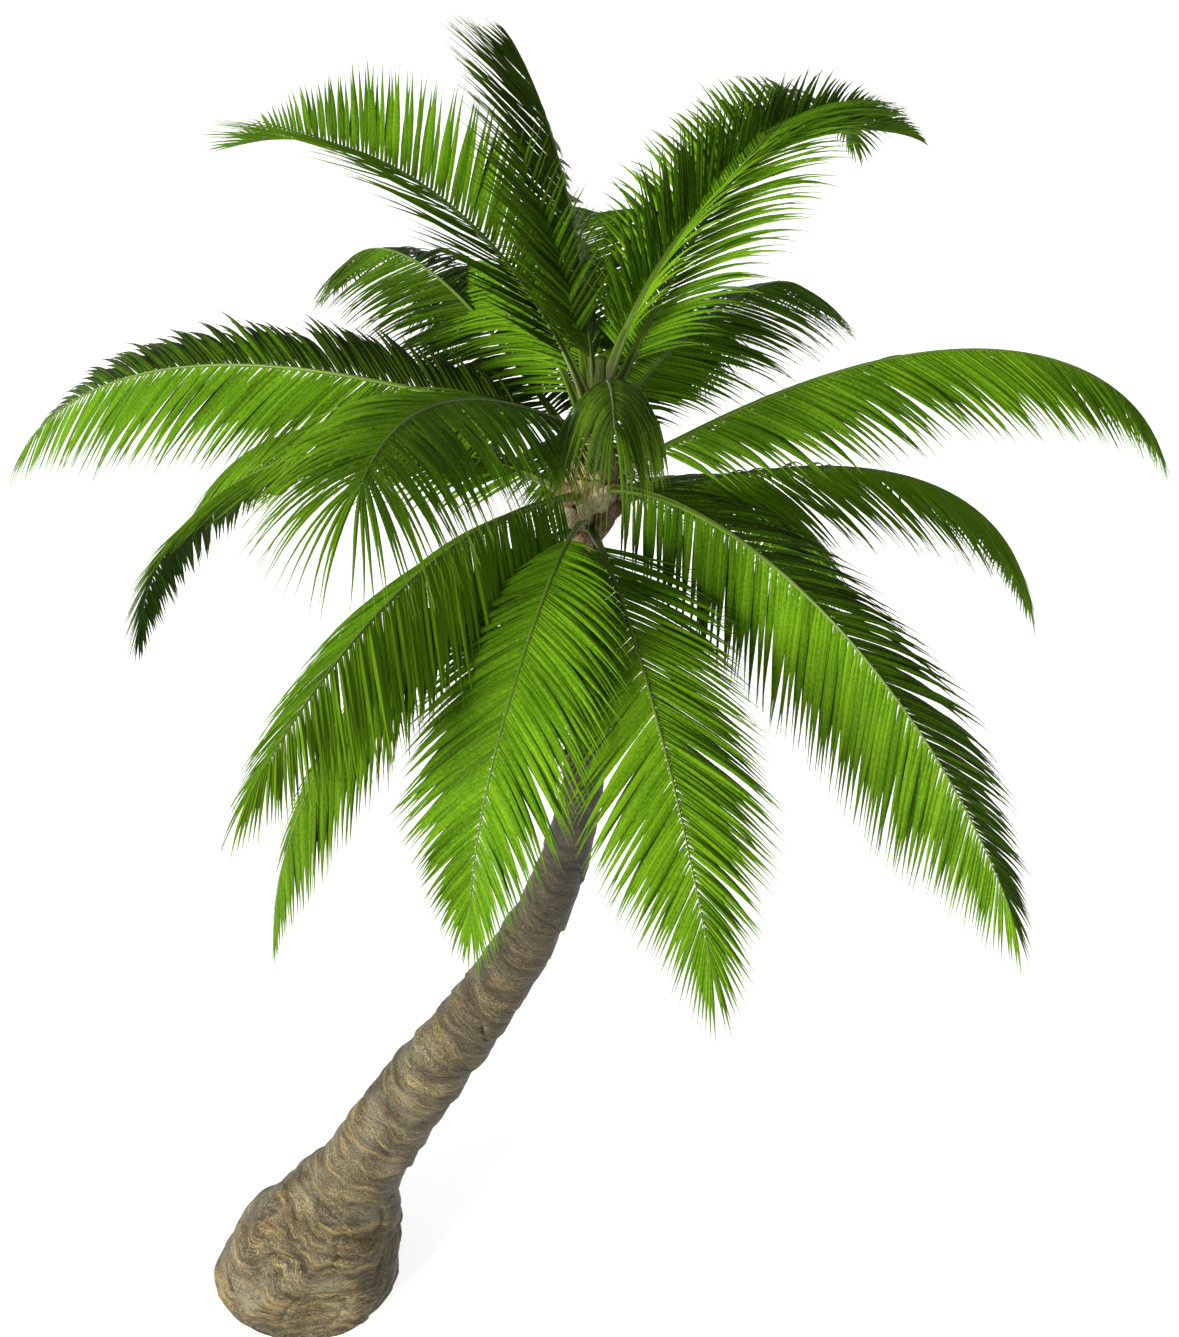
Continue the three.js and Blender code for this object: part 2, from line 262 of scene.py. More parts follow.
def linear(code):
    """The linear colour of an sRGB hex code."""
    channels = [int(code[i : i + 2], 16) / 255 for i in (1, 3, 5)]
    return [c / 12.92 if c <= 0.04045 else ((c + 0.055) / 1.055) ** 2.4 for c in channels] + [1]


def set_stops(ramp, stops):
    """Gives a colour ramp its stops of (place, colour code)."""
    while len(ramp.elements) < len(stops):
        ramp.elements.new(0.5)
    for element, (place, code) in zip(ramp.elements, stops):
        element.position = place
        element.color = linear(code)


def add(tree, kind, settings=None, links=None):
    """A new node. Settings are its properties, its input values or the stops of its
    colour ramp, and links feed its inputs."""
    node = tree.nodes.new("ShaderNode" + kind)
    for key, value in (settings or {}).items():
        if key == "stops":
            set_stops(node.color_ramp, value)
        elif isinstance(key, str) and hasattr(node, key):
            setattr(node, key, value)
        else:
            node.inputs[key].default_value = value
    for key, output in (links or {}).items():
        tree.links.new(output, node.inputs[key])
    return node


def streaks(tree, place, stretch, detail, rough=0.5):
    """A streaky pattern over a place, with features of 1 / stretch metres each way."""
    spread = add(tree, "VectorMath", {"operation": "MULTIPLY", 1: stretch}, {0: place})
    settings = {"Scale": 1.0, "Detail": detail, "Roughness": rough}
    return add(tree, "TexNoise", settings, {"Vector": spread.outputs[0]}).outputs["Fac"]


def new_material(name, settings):
    """An empty material with its shader, whose plain numbers are settings."""
    material = bpy.data.materials.new(name)
    material.use_nodes = True
    tree = material.node_tree
    tree.nodes.clear()
    shader = add(tree, "BsdfPrincipled", settings)
    add(tree, "OutputMaterial", links={"Surface": shader.outputs["BSDF"]})
    return material, tree, shader


def new_object(name, corners, faces, material):
    """A mesh of one material, put in the scene."""
    mesh = bpy.data.meshes.new(name)
    mesh.from_pydata(np.asarray(corners).tolist(), [], faces)
    mesh.materials.append(material)
    made = bpy.data.objects.new(name, mesh)
    bpy.context.scene.collection.objects.link(made)
    return made


def new_piece(name, corners, faces, material, nodes=(), crease=None):
    """A smooth piece of the palm, riding with the palm and standing for CAD nodes.
    Edges that turn by more than the crease, in degrees, stay sharp."""
    piece = new_object(name, corners, faces, material)
    piece.data.validate()
    piece.data.shade_smooth()
    if crease:
        piece.data.set_sharp_from_angle(angle=math.radians(crease))
    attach(piece, "root")
    if nodes:
        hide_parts(*nodes)
    return piece


def set_vectors(piece, name, values):
    """A vector at each corner of the piece, for its material to read."""
    made = piece.data.attributes.new(name, "FLOAT_VECTOR", "POINT")
    made.data.foreach_set("vector", np.asarray(values, np.float32).ravel())


def grid_faces(rings, sides, closed=True):
    """Quads over rings of sides corners, closed round the ring or open."""
    faces = []
    for ring in range(rings - 1):
        for side in range(sides if closed else sides - 1):
            after = (side + 1) % sides
            low, high = ring * sides, (ring + 1) * sides
            faces.append((low + side, low + after, high + after, high + side))
    return faces


def tube_faces(rings, sides):
    """The faces of a tube of rings, closed at both ends."""
    last = (rings - 1) * sides
    ends = [tuple(reversed(range(sides))), tuple(range(last, last + sides))]
    return grid_faces(rings, sides) + ends


# ----------------------------------------------------------------------- materials


def coconut_leaf(name, deep, full, fresh):
    """Coconut leaflet: a tough blade grown with a thin skin of wax, weathered nearly
    matt. It has fine straight veins, a paler midrib, and green that shifts from
    leaflet to leaflet and in blotches along each. Whole wings of some fronds, and
    leaflets near the heart, are lighter or darker as painted light and shade."""
    material, tree, shader = new_material(name, {"IOR": 1.42, "Specular IOR Level": 0.05})
    place = add(tree, "Attribute", {"attribute_name": "leaf_place"}).outputs["Vector"]
    # leaf_place is (across in m, along in m, a tone: a number of its own for each
    # leaflet, with painted light and shade added)
    across, _, own_and_painted_light = add(tree, "SeparateXYZ", links={0: place}).outputs
    ground = add(tree, "NewGeometry").outputs["Position"]
    # clouds of lighter and darker leaflets, 600 mm across
    clouds = add(tree, "TexNoise", {"Scale": 1.7, "Detail": 3.0}, {"Vector": ground})
    # blotches 15 mm wide and 20 mm long, elsewhere on each leaflet
    blotches = streaks(tree, place, (66.0, 50.0, 31.0), 1.0)
    # veins 3 mm apart, drawn 6 mm apart so that they show
    veins = streaks(tree, place, (170.0, 6.0, 31.0), 2.0)
    tone = add(tree, "Math", {"operation": "MULTIPLY", 1: 0.30}, {0: own_and_painted_light})
    for pattern, share in ((clouds.outputs["Fac"], 0.50), (blotches, 0.55), (veins, 0.20)):
        links = {0: pattern, 2: tone.outputs[0]}
        tone = add(tree, "Math", {"operation": "MULTIPLY_ADD", 1: share}, links)
    # the darkest stop is reached mostly where painted shade lowers the tone
    stops = [(0.3, "#2a3f08"), (0.52, deep), (0.77, full), (1.0, fresh)]
    green = add(tree, "ValToRGB", {"stops": stops}, {"Fac": tone.outputs[0]})
    # the midrib is 6 mm wide and fades into the blade
    middle = add(tree, "Math", {"operation": "ABSOLUTE"}, {0: across})
    settings = {"From Min": 0.0, "From Max": 0.003, "To Min": 0.3, "To Max": 0.0}
    midrib = add(tree, "MapRange", settings, {"Value": middle.outputs[0]})
    links = {0: midrib.outputs[0], 6: green.outputs["Color"]}
    colour = add(tree, "Mix", {"data_type": "RGBA", 7: linear("#93a83c")}, links)
    tree.links.new(colour.outputs[2], shader.inputs["Base Color"])
    gloss = add(tree, "MapRange", {"To Min": 0.42, "To Max": 0.6}, {"Value": veins})
    tree.links.new(gloss.outputs[0], shader.inputs["Roughness"])
    relief = add(tree, "Bump", {"Strength": 0.35, "Distance": 0.0015}, {"Height": veins})
    tree.links.new(relief.outputs[0], shader.inputs["Normal"])
    return material


def coconut_stalk():
    """Coconut frond stalk: a smooth hard rind, half glossy. It is green with a yellow
    cast on top, brown-freckled near the heart, with fine lengthwise lines."""
    material, tree, shader = new_material("coconut_stalk", {"Roughness": 0.45, "IOR": 1.45})
    place = add(tree, "Attribute", {"attribute_name": "stalk_place"}).outputs["Vector"]
    # stalk_place is (round the stalk in m, along in m, 1 on top to -1 beneath)
    _, along, top = add(tree, "SeparateXYZ", links={0: place}).outputs
    # lines 2 mm apart, drawn 11 mm apart so that they show
    lines = streaks(tree, place, (90.0, 2.2, 0.0), 3.0)
    tone = add(tree, "Math", {"operation": "MULTIPLY_ADD", 1: 0.22}, {0: top, 2: lines})
    stops = [(0.25, "#2c4310"), (0.5, "#456418"), (0.7, "#5f8020"), (0.9, "#7f9636")]
    green = add(tree, "ValToRGB", {"stops": stops}, {"Fac": tone.outputs[0]})
    # freckles 5 mm across, drawn 17 mm across so that they show, and fewer further out
    patches = add(tree, "TexNoise", {"Scale": 60.0, "Detail": 2.0}, {"Vector": place})
    settings = {"From Min": 0.05, "From Max": 0.7, "To Min": 0.62, "To Max": 0.2}
    near = add(tree, "MapRange", settings, {"Value": along})
    links = {0: patches.outputs["Fac"], 1: near.outputs[0]}
    freckles = add(tree, "Math", {"operation": "LESS_THAN"}, links)
    faint = add(tree, "Math", {"operation": "MULTIPLY", 1: 0.7}, {0: freckles.outputs[0]})
    links = {0: faint.outputs[0], 6: green.outputs["Color"]}
    colour = add(tree, "Mix", {"data_type": "RGBA", 7: linear("#6a5a34")}, links)
    tree.links.new(colour.outputs[2], shader.inputs["Base Color"])
    relief = add(tree, "Bump", {"Strength": 0.4, "Distance": 0.002}, {"Height": lines})
    tree.links.new(relief.outputs[0], shader.inputs["Normal"])
    return material


def palm_bark():
    """Coconut palm bark: grown in layers, weathered and worn half smooth. A fine olive
    grey grain lies over it, with swirling level bands worn to a pale gold, grey
    lichen, rust-brown staining and thin dark cracks. It is painted darker in its
    grooves and darker, mauve-brown, upward towards the crown, as painted shade."""
    material, tree, shader = new_material("palm_bark", {"Roughness": 0.5, "IOR": 1.45})
    place = add(tree, "Attribute", {"attribute_name": "bark_place"}).outputs["Vector"]
    # bark_place is the trunk straightened: (x, y, length from the ground), in m
    worn = add(tree, "Attribute", {"attribute_name": "bark_groove"}).outputs["Vector"]
    # the attribute read here is (how deep in a groove, darkened as painted shade, how
    # near the crown, darkened as painted shade, how near the foot), each 0 to 1
    deep, high, low = add(tree, "SeparateXYZ", links={0: worn}).outputs
    # the patterns swirl in bends 450 mm across, which lift them by up to 340 mm
    warp = add(tree, "TexNoise", {"Scale": 2.2, "Detail": 2.0}, {"Vector": place})
    settings = {"operation": "MULTIPLY_ADD", 1: (0.06, 0.06, 0.34)}
    links = {0: warp.outputs["Color"], 2: place}
    bent = add(tree, "VectorMath", settings, links).outputs[0]
    bands = streaks(tree, bent, (2.2, 2.2, 13.0), 5.0, 0.55)  # 80 mm high, 450 mm wide
    layers = streaks(tree, bent, (14.0, 14.0, 75.0), 4.0, 0.7)  # 13 mm high, 70 mm wide
    grain = streaks(tree, bent, (45.0, 45.0, 150.0), 4.0, 0.75)  # 7 mm high, 20 mm wide
    # grit 4 mm across, drawn 9 mm across so that it shows
    settings = {"Scale": 110.0, "Detail": 2.0, "Roughness": 0.8}
    grit = add(tree, "TexNoise", settings, {"Vector": place}).outputs["Fac"]
    tone = add(tree, "Math", {"operation": "MULTIPLY", 1: 0.40}, {0: bands})
    # the grooves are darkened: painted shade
    for pattern, share in ((grit, 0.50), (grain, 0.38), (layers, 0.19), (deep, -0.16)):
        links = {0: pattern, 2: tone.outputs[0]}
        tone = add(tree, "Math", {"operation": "MULTIPLY_ADD", 1: share}, links)
    stops = [(0.59, "#1f1a10"), (0.70, "#4c432d"), (0.80, "#857a52"), (0.90, "#d6ca98")]
    colour = add(tree, "ValToRGB", {"stops": stops}, {"Fac": tone.outputs[0]}).outputs[0]
    gold = streaks(tree, bent, (1.9, 1.9, 19.0), 5.0, 0.65)  # 50 mm high, 530 mm wide
    golden = add(tree, "Math", {"operation": "MULTIPLY_ADD", 1: 0.05}, {0: low, 2: gold})
    lichen = add(tree, "TexNoise", {"Scale": 2.6, "Detail": 5.0}, {"Vector": place})
    rust = streaks(tree, bent, (3.3, 3.3, 6.0), 4.0, 0.6)  # 170 mm high, 300 mm wide
    # a crack follows each line where a pattern 16 mm high and 200 mm wide is a half
    courses = streaks(tree, bent, (5.0, 5.0, 62.0), 2.0)
    cracks = add(tree, "Math", {"operation": "COMPARE", 1: 0.5, 2: 0.02}, {0: courses})
    # each stain's, or the painted shade's, colour and blend, its pattern, the values
    # of the pattern where it starts and is full, and its most
    stains_and_shade = [
        ("#c9ad70", "MIX", golden.outputs[0], 0.55, 0.69, 0.6),
        ("#a59e84", "MIX", lichen.outputs["Fac"], 0.50, 0.68, 0.5),
        ("#7e5426", "MIX", rust, 0.58, 0.74, 0.55),
        ("#2b241a", "MIX", cracks.outputs[0], 0.0, 1.0, 0.55),
        ("#3a3226", "MULTIPLY", grain, 0.50, 0.36, 0.75),
        # painted shade, darker towards the crown
        ("#61574e", "MULTIPLY", high, 0.0, 1.0, 1.0),
    ]
    for code, blend, pattern, start, full, most in stains_and_shade:
        settings = {"From Min": start, "From Max": full, "To Min": 0.0, "To Max": most}
        share = add(tree, "MapRange", settings, {"Value": pattern})
        settings = {"data_type": "RGBA", "blend_type": blend, 7: linear(code)}
        colour = add(tree, "Mix", settings, {0: share.outputs[0], 6: colour}).outputs[2]
    tree.links.new(colour, shader.inputs["Base Color"])
    height = add(tree, "Math", {"operation": "MULTIPLY_ADD", 1: 0.5}, {0: grain, 2: layers})
    settings = {"Strength": 0.8, "Distance": 0.02}
    relief = add(tree, "Bump", settings, {"Height": height.outputs[0]})
    tree.links.new(relief.outputs[0], shader.inputs["Normal"])
    return material


def fibre_cloth(name, dark, mid, pale):
    """Coconut fibre: the coarse brown cloth that grows round the young leaves. Dry,
    matt and hairy, woven of crossing strands 1 to 2 mm thick, drawn 8 mm apart so
    that they show, and bleached where it is oldest."""
    material, tree, shader = new_material(name, {"Roughness": 0.9, "IOR": 1.4})
    place = add(tree, "Attribute", {"attribute_name": "fibre_place"}).outputs["Vector"]
    # fibre_place is (round in m, height in m, a number of its own for each piece)
    strands = []
    for lean in (0.5, -0.5):
        settings = {"rotation_type": "Z_AXIS", "Angle": lean}
        leaning = add(tree, "VectorRotate", settings, {"Vector": place})
        strands.append(streaks(tree, leaning.outputs[0], (125.0, 7.0, 1.0), 2.0))
    woven = add(tree, "Math", {"operation": "MAXIMUM"}, {0: strands[0], 1: strands[1]})
    # patches 110 mm across
    patches = add(tree, "TexNoise", {"Scale": 9.0, "Detail": 3.0}, {"Vector": place})
    links = {0: patches.outputs["Fac"], 2: woven.outputs[0]}
    tone = add(tree, "Math", {"operation": "MULTIPLY_ADD", 1: 0.6}, links)
    stops = [(0.62, dark), (0.84, mid), (1.0, pale)]
    brown = add(tree, "ValToRGB", {"stops": stops}, {"Fac": tone.outputs[0]})
    # the youngest sheaths, above the heart's shoulders, are still green
    height = add(tree, "SeparateXYZ", links={0: place}).outputs[1]
    settings = {"From Min": 8.65, "From Max": 8.95, "To Min": 0.0, "To Max": 0.9}
    young = add(tree, "MapRange", settings, {"Value": height})
    links = {0: young.outputs[0], 6: brown.outputs["Color"]}
    colour = add(tree, "Mix", {"data_type": "RGBA", 7: linear("#3d5518")}, links)
    tree.links.new(colour.outputs[2], shader.inputs["Base Color"])
    settings = {"Strength": 0.8, "Distance": 0.006}
    relief = add(tree, "Bump", settings, {"Height": woven.outputs[0]})
    tree.links.new(relief.outputs[0], shader.inputs["Normal"])
    return material


def pale_paint(name, socket, settings, stops):
    """Matt studio paint, near white, that drifts in tone over 20 m."""
    material, tree, shader = new_material(name, {"Roughness": 0.9, **settings})
    ground = add(tree, "NewGeometry").outputs["Position"]
    clouds = add(tree, "TexNoise", {"Scale": 0.05}, {"Vector": ground})
    colour = add(tree, "ValToRGB", {"stops": stops}, {"Fac": clouds.outputs["Fac"]})
    tree.links.new(colour.outputs["Color"], shader.inputs[socket])
    return material


LEAF_GREENS = {
    # deep is the full leaf made darker: painted shade for fronds in the crown's shade
    "deep": coconut_leaf("leaf_painted_shade", "#2c4608", "#3c5c0b", "#517412"),
    "full": coconut_leaf("leaf_full", "#41670b", "#578711", "#75a51b"),
    "old": coconut_leaf("leaf_old", "#395a0a", "#4b740e", "#648d16"),
}
stalk_rind = coconut_stalk()
bark = palm_bark()
heart_fibre = fibre_cloth("heart_fibre", "#4a3a26", "#86704c", "#c3ae84")
pale_fibre = fibre_cloth("pale_fibre", "#857558", "#bfae88", "#e4dabd")
red_fibre = fibre_cloth("red_fibre", "#3d2a20", "#7a5a46", "#ae8e78")

# --------------------------------------------------------------------------- trunk


def trunk_centre(share):
    """Points of the trunk's middle, at shares of its curve from the ground."""
    left = 1 - share
    weights = (left**3, 3 * left**2 * share, 3 * left * share**2, share**3)
    return sum(w[..., None] * p for w, p in zip(weights, TRUNK_BEND))


def trunk_tangent(share):
    left = 1 - share
    legs = np.diff(TRUNK_BEND, axis=0)
    weights = (left**2, 2 * left * share, share**2)
    return unit(sum(w[..., None] * p for w, p in zip(weights, legs)))


def trunk_radius(height):
    """A taper to the crown, and a foot that flares out in a half wave."""
    below = np.maximum(0, TRUNK_HEIGHT - height) / TAPER_HEIGHT
    foot = np.cos(math.pi / 2 * np.minimum(1, height / FLARE_HEIGHT)) ** 2
    return TOP_RADIUS + TAPER * below**TAPER_POWER + FLARE * foot


def bark_relief(straight, height):
    """How far the bark stands out, in metres, and how deep in a groove it is."""
    foot = 1 - smooth(height, 0.7, 2.0)
    crown = smooth(height, 5.2, TRUNK_HEIGHT)
    sway = noise_at(straight * (1, 1, 0.35), 1.4, 1)
    wander = noise_at(straight * (1, 1, 0.5), 4.0, 2)
    # stepped swellings between old leaf scars, that fade in and out round the trunk
    belt = (straight[..., 2] / BELT_SPACING + 1.9 * sway + 0.35 * wander) % 1
    belts = smooth(belt, 0, 0.12) * (1 - 0.75 * belt)
    strength = np.clip(0.45 + 1.1 * noise_at(straight * (1, 1, 1.6), 1.5, 3), 0, 1)
    out = (belts - 0.45) * BELT_DEPTH * strength * (1 - 0.4 * crown)
    # leaf scars, mostly worn away
    scar = (straight[..., 2] / SCAR_SPACING + 1.6 * sway + 0.5 * wander) % 1
    scars = np.exp(-(((scar - 0.5) / 0.16) ** 2)) * np.clip(0.3 + wander, 0, 1)
    out -= SCAR_DEPTH * scars
    # wavy layers, about 30 mm high, and lumps of a hand's breadth
    layers = noise_at(straight * (1, 1, 7) + UP * sway[..., None] * 0.9, 3.6, 4)
    out += LAYER_DEPTH * layers + LUMP_DEPTH * noise_at(straight, 5.0, 5)
    # soft swellings and folds of the foot
    swell = noise_at(straight * (1, 1, 1.5), 1.9, 6)
    out += foot * (FOOT_SWELL * swell - FOOT_FOLD * np.exp(-((swell / 0.09) ** 2)))
    groove = np.clip(0.7 * scars * strength + strength * (1 - smooth(belt, 0.0, 0.10)), 0, 1)
    return out, groove


def make_trunk():
    """The whole stem in its bark, from the flat cut to the heart."""
    share = np.linspace(0, 1, BARK_RINGS) ** RING_CROWDING
    centre = trunk_centre(share)
    tangent = trunk_tangent(share)
    height = centre[:, 2]
    # rings stand square to the trunk's lean, and lie level at both ends
    level = smooth(height, 0, LEVEL_HEIGHT) * smooth(TRUNK_HEIGHT - height, 0, LEVEL_HEIGHT)
    tilt = np.arctan2(tangent[:, 0], tangent[:, 2]) * level
    legs = np.linalg.norm(np.diff(centre, axis=0), axis=1)
    length = np.concatenate([[0], np.cumsum(legs)])
    # from here on, a row is a ring and a column is a side
    height, tilt, length = [np.tile(row[:, None], BARK_SIDES) for row in (height, tilt, length)]
    turn = np.linspace(0, 2 * math.pi, BARK_SIDES, endpoint=False)
    round_x, round_y = np.cos(turn), np.sin(turn)
    radius = trunk_radius(height)
    straight = np.stack([radius * round_x, radius * round_y, length], -1)
    out, groove = bark_relief(straight, height)
    # the relief is less at the rim of the flat cut
    full = radius + out * mix(0.4, 1, smooth(height, 0, 0.05))
    leaning = full * round_x
    ring = np.stack([leaning * np.cos(tilt), full * round_y, -leaning * np.sin(tilt)], -1)
    corners = centre[:, None, :] + ring
    # nothing of the foot goes below the flat cut
    corners[..., 2] = np.maximum(corners[..., 2], 0)
    faces = tube_faces(BARK_RINGS, BARK_SIDES)
    piece = new_piece("trunk_bark", corners.reshape(-1, 3), faces, bark, ["trunk"])
    set_vectors(piece, "bark_place", straight)
    # groove depth and nearness to the crown darken the bark as painted shade, and nearness to the
    # foot adds gold
    high = smooth(height, 1.4, 6.0)
    low = 1 - smooth(height, 0.6, 2.4)
    set_vectors(piece, "bark_groove", np.stack([groove, high, low], -1))


# --------------------------------------------------------------------------- heart


def heart_axis(height):
    return np.array([TRUNK_BEND[3][0] + HEART_LEAN * (height - TRUNK_HEIGHT), 0.0, height])


def heart_radius(share):
    """Swelling from the trunk's width to the shoulders, then down to the tip."""
    body = TOP_RADIUS + (HEART_RADIUS - TOP_RADIUS) * smooth(share, 0, 0.16)
    return body + (HEART_TIP_RADIUS - body) * smooth(share, 0.25, 1)


def make_heart():
    """The wrapped core that the fronds grow from, ridged by the leaf bases in it."""
    corners, places = [], []
    for share in np.linspace(0, 1, HEART_RINGS):
        height = TRUNK_HEIGHT - HEART_SUNK + share * (HEART_HEIGHT + HEART_SUNK)
        for angle in np.linspace(0, 2 * math.pi, HEART_SIDES, endpoint=False):
            way = Vector((math.cos(angle), math.sin(angle), 0))
            folds = noise.noise(Vector((way.x * 3.2, way.y * 3.2, height * 0.8)))
            creases = noise.noise(Vector((way.x * 11, way.y * 11, height * 2.5)))
            full = heart_radius(share) * (1 + 0.16 * folds + 0.07 * creases) + 0.004
            corners.append(heart_axis(height) + np.array(way) * full)
            places.append((angle * 0.2, height, 0.3))
    faces = tube_faces(HEART_RINGS, HEART_SIDES)
    piece = new_piece("heart_fibre", corners, faces, heart_fibre, ["crown_heart"])
    set_vectors(piece, "fibre_place", places)


# Torn cloths round the heart: azimuth, height of the middle, half the turn they
# cover, how tall, how far they puff out, and their fibre. Angles in degrees.
CLOTHS = [
    (236, 8.15, 42, 0.17, 0.085, pale_fibre),
    (287, 8.30, 40, 0.22, 0.030, pale_fibre),
    (318, 8.18, 32, 0.15, 0.055, red_fibre),
    (258, 8.38, 40, 0.20, 0.020, heart_fibre),
    (200, 8.30, 38, 0.20, 0.035, red_fibre),
    (12, 8.22, 40, 0.18, 0.060, pale_fibre),
    (64, 8.34, 38, 0.22, 0.030, heart_fibre),
    (105, 8.16, 42, 0.17, 0.070, pale_fibre),
    (152, 8.26, 40, 0.20, 0.045, red_fibre),
]


def make_cloth(number, azimuth, height, half_turn, tall, puff, material):
    """A torn and wrinkled closed sheet that puffs out from the heart."""
    outer, inner, places = [], [], []
    for up in np.linspace(-1, 1, CLOTH_ROWS):
        for across in np.linspace(-1, 1, CLOTH_COLUMNS):
            angle = math.radians(azimuth + across * half_turn)
            torn = 1 + 0.35 * noise.noise(Vector((across * 3.1, up * 0.6, number * 5.3)))
            level = height + up * 0.5 * tall * torn - 0.03 * across**2
            share = (level - TRUNK_HEIGHT) / HEART_HEIGHT
            wrinkle = noise.noise(Vector((across * 4.7, up * 2.2, number * 9.1)))
            bulge = puff * (1 - across**2) * math.sqrt(max(0, 1 - up**2))
            radius = heart_radius(max(0, share)) * 1.06 + bulge + 0.012 * wrinkle + 0.014
            way = np.array([math.cos(angle), math.sin(angle), 0])
            outer.append(heart_axis(level) + way * radius)
            inner.append(heart_axis(level) + way * (radius - CLOTH_THICKNESS))
            places.append((across * half_turn * 0.004, level, number * 0.37))
    count = CLOTH_ROWS * CLOTH_COLUMNS
    faces = grid_faces(CLOTH_ROWS, CLOTH_COLUMNS, closed=False)
    faces += [tuple(count + corner for corner in reversed(face)) for face in faces]
    # the corners round the sheet's rim, bottom, right, top and left
    rim = list(range(CLOTH_COLUMNS))
    rim += [row * CLOTH_COLUMNS + CLOTH_COLUMNS - 1 for row in range(1, CLOTH_ROWS)]
    rim += [count - 1 - column for column in range(1, CLOTH_COLUMNS)]
    rim += [row * CLOTH_COLUMNS for row in range(CLOTH_ROWS - 2, 0, -1)]
    for here, after in zip(rim, rim[1:] + rim[:1]):
        faces.append((after, here, here + count, after + count))
    piece = new_piece(f"heart_cloth_{number}", outer + inner, faces, material)
    set_vectors(piece, "fibre_place", places + places)


# -------------------------------------------------------------------------- fronds


def frond_frame(frond, share):
    """Directions along, left and top of a frond at shares of its length."""
    share = np.asarray(share, float)
    elevation = np.radians(frond["rise"] - frond["fall"] * share ** frond["bend"])
    azimuth = np.radians(frond["azimuth"] + frond["sweep"] * share)
    level = np.stack([np.cos(azimuth), np.sin(azimuth), 0 * azimuth], -1)
    along = level * np.cos(elevation)[..., None] + UP * np.sin(elevation)[..., None]
    left = np.stack([-np.sin(azimuth), np.cos(azimuth), 0 * azimuth], -1)
    top = np.cross(along, left)
    roll = math.radians(frond["roll"])
    return along, turned(left, along, roll), turned(top, along, roll)


def rib_course(frond):
    """Points of the rib, one step apart."""
    azimuth = math.radians(frond["azimuth"])
    start = heart_axis(frond["height"])
    start = start + STEM_START * np.array([math.cos(azimuth), math.sin(azimuth), 0])
    along, _, _ = frond_frame(frond, (np.arange(RIB_STEPS) + 0.5) / RIB_STEPS)
    steps = np.cumsum(along * frond["length"] / RIB_STEPS, axis=0)
    return np.vstack([start, start + steps])


def on_rib(course, share):
    place = np.clip(share, 0, 1) * RIB_STEPS
    index = np.minimum(place.astype(int), RIB_STEPS - 1)
    return mix(course[index], course[index + 1], (place - index)[..., None])


def stalk_half_width(share):
    return np.interp(share, WIDTH_SHARES, STALK_HALF_WIDTHS)


def stalk_thickness(share):
    return np.interp(share, THICKNESS_SHARES, STALK_THICKNESSES)


def stalk_section(share):
    """The stalk's outline at a share of its length, in half widths and thicknesses:
    keeled beneath, and channelled on top near the heart but ridged further out."""
    edge = mix(0.42, 0.45, share)
    channel = mix(-0.05, 0.62, smooth(share, 0.05, 0.45))
    above = [(1, 0.22), (0.55, edge), (0, channel), (-0.55, edge), (-1, 0.22)]
    return above + [(-0.86, -0.28), (-0.45, -0.56), (0, -0.66), (0.45, -0.56), (0.86, -0.28)]


def make_stalk(name, frond, course):
    """The stalk and rib of a frond."""
    corners, places = [], []
    for share in np.linspace(0, 1, STALK_RINGS) ** STALK_CROWDING:
        _, left, top = frond_frame(frond, share)
        spine = on_rib(course, share)
        section = stalk_section(share)
        for number, (x, y) in enumerate(section):
            out = left * x * stalk_half_width(share) + top * y * stalk_thickness(share)
            corners.append(spine + out)
            places.append((number * 0.02, share * frond["length"], math.copysign(1, y)))
    faces = tube_faces(STALK_RINGS, len(section))
    piece = new_piece(name + "_stalk", corners, faces, stalk_rind)
    set_vectors(piece, "stalk_place", places)


def leaflet_length(frond, share):
    """Growing from the first leaflets on, and shorter again towards the tip."""
    grown = mix(frond["start"], 1, smooth(share - frond["first"], -0.05, 0.2))
    kept = 1 - (1 - frond["tip"]) * smooth(share, 0.62, 1)
    return LEAFLET_LENGTH * frond["leaf"] * grown * kept


def bunched(dice, pairs):
    """Angles in degrees that draw runs of leaflets together, with gaps between."""
    lean = []
    while len(lean) < pairs:
        run = int(dice.integers(3, 9))
        pull = dice.uniform(0.3, 1.3)
        lean.extend(pull * (place - (run - 1) / 2) for place in range(run))
    return lean[:pairs]


def leaflet_line(frond, course, share, side, lean, dice):
    """A leaflet's length, the points of its middle line from the heel on the rib, the
    way it heads at each, and the way its blade faces."""
    along, left, top = frond_frame(frond, share)
    step = (np.arange(LEAFLET_STEPS) + 0.5) / LEAFLET_STEPS
    angle = np.interp(share, ANGLE_SHARES, LEAFLET_ANGLES)
    angle = math.radians(angle * frond["tight"] + dice.normal(0, 0.8))
    # the outer half swings towards the middle of its run
    swing = math.radians(lean) * mix(0.1, 2, smooth(step, 0.5, 1.0))
    angle = (angle + swing)[:, None]
    fold = math.radians(frond["fold"] + dice.normal(0, 3))
    wing = side * left * math.cos(fold) + top * math.sin(fold)
    away = unit(along * np.cos(angle) + wing * np.sin(angle))
    length = leaflet_length(frond, share) * dice.uniform(0.92, 1.06)
    droop = frond["droop"] * dice.uniform(0.75, 1.3)
    heading = unit(away - UP * (droop * 1.6 * step**1.5)[:, None])
    heel = on_rib(course, share) + side * left * stalk_half_width(share) * 0.8
    heel = heel + top * 0.2 * stalk_thickness(share)
    line = np.vstack([heel, heel + np.cumsum(heading * length / LEAFLET_STEPS, axis=0)])
    face = unit(np.cross(along, wing) * side)
    return length, line, np.vstack([heading, heading[-1:]]), face


